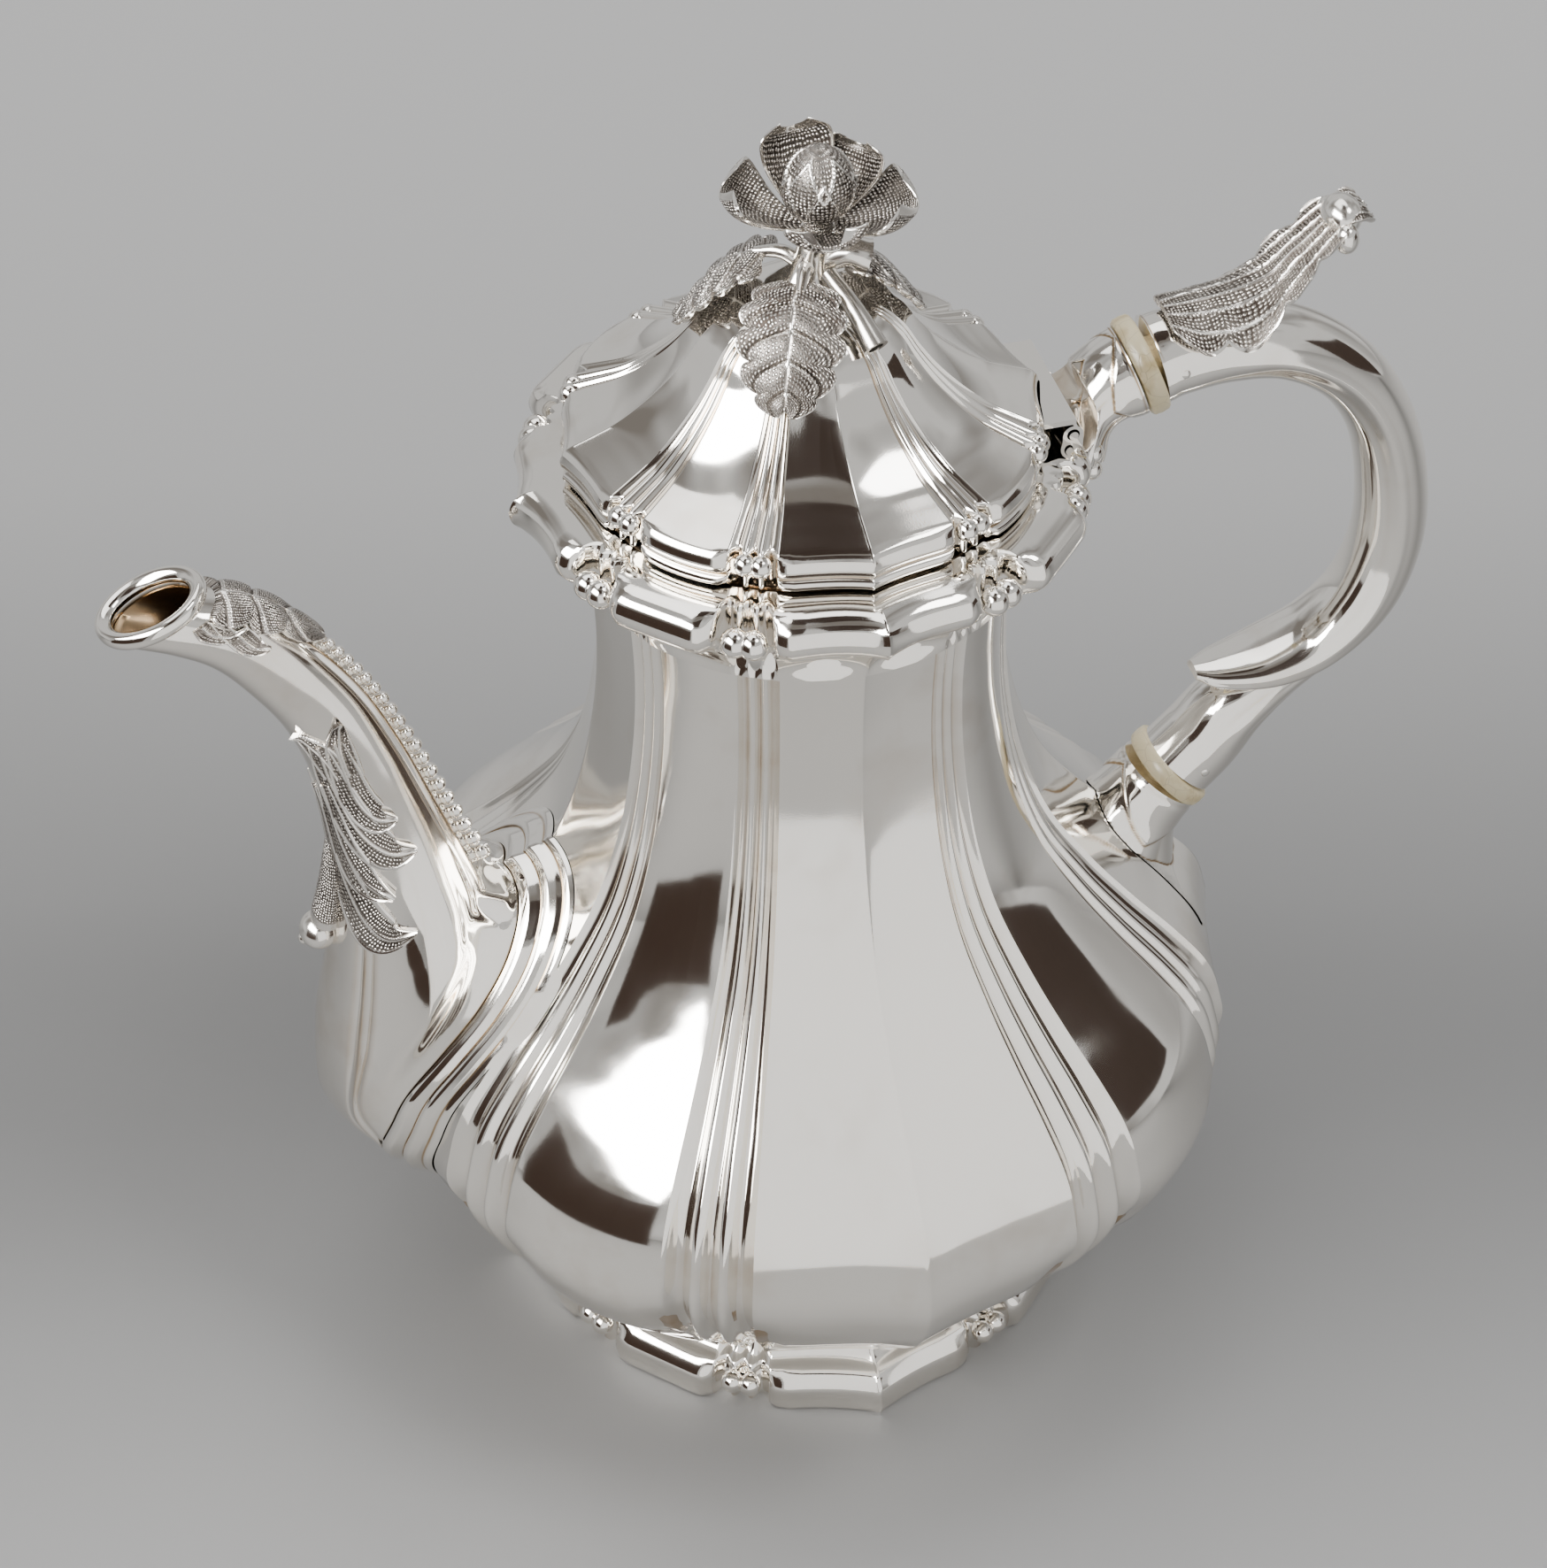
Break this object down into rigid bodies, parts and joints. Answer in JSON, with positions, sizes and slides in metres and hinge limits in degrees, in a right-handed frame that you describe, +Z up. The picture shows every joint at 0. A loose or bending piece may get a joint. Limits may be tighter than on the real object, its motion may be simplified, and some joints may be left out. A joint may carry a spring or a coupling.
{
  "type": "coffee pot",
  "caption": "Silver coffee pot with a lobed pear-shaped body, hinged domed lid with a flower finial, scroll handle with ivory insulators and an ornamented spout.",
  "frame": {"origin": "on the surface that the pot stands on, under the middle of the pot, on the body's upright axis", "axes": "+Z up, +X towards the handle, -X towards the spout, +Y across the pot; the hinge turns about +Y"},
  "size_m": [0.2495, 0.1752, 0.2622],
  "materials": {
    "polished_silver": "hand-polished silver",
    "oxidised_silver": "chased and punched silver with dark patina in the recesses",
    "ivory": "polished cream ivory or bone with fine cracks"
  },
  "bodies": {
    "pot": {"foot_ring": "polished_silver", "body_shell": "polished_silver", "neck_collar": "polished_silver", "lid_seat_ring": "polished_silver", "hinge_bracket": "polished_silver", "hinge_pin": "polished_silver", "spout_body": "polished_silver", "spout_root_moulding": "polished_silver", "spout_lip": "polished_silver", "spout_tip_leaf": "oxidised_silver", "spout_leaf_near": "oxidised_silver", "spout_leaf_far": "oxidised_silver", "spout_foot_curl": "oxidised_silver", "spout_bead_row": "polished_silver", "upper_socket": "polished_silver", "lower_socket": "polished_silver", "upper_insulator": "ivory", "lower_insulator": "ivory", "handle_scroll": "polished_silver", "handle_branch": "polished_silver", "upper_socket_pin": "polished_silver", "upper_handle_pin": "polished_silver", "lower_socket_pin": "polished_silver", "lower_handle_pin": "polished_silver", "thumb_leaf": "oxidised_silver"},
    "lid": {"lid_shell": "polished_silver", "lid_bezel": "polished_silver", "lid_hinge_plate": "polished_silver", "finial_stem": "oxidised_silver", "finial_nut": "polished_silver", "petal_front": "oxidised_silver", "petal_right": "oxidised_silver", "petal_back_right": "oxidised_silver", "petal_back_left": "oxidised_silver", "petal_left": "oxidised_silver", "bud": "oxidised_silver", "leaf_front": "oxidised_silver", "leaf_left": "oxidised_silver", "leaf_right": "oxidised_silver", "twig_stub": "oxidised_silver"}
  },
  "joints": [
    {"name": "lid_hinge", "type": "hinge", "parent": "pot", "child": "lid", "pos_m": [0.046, 0, 0.2028], "axis": [0, 1, 0], "range_deg": [0, 70]}
  ]
}
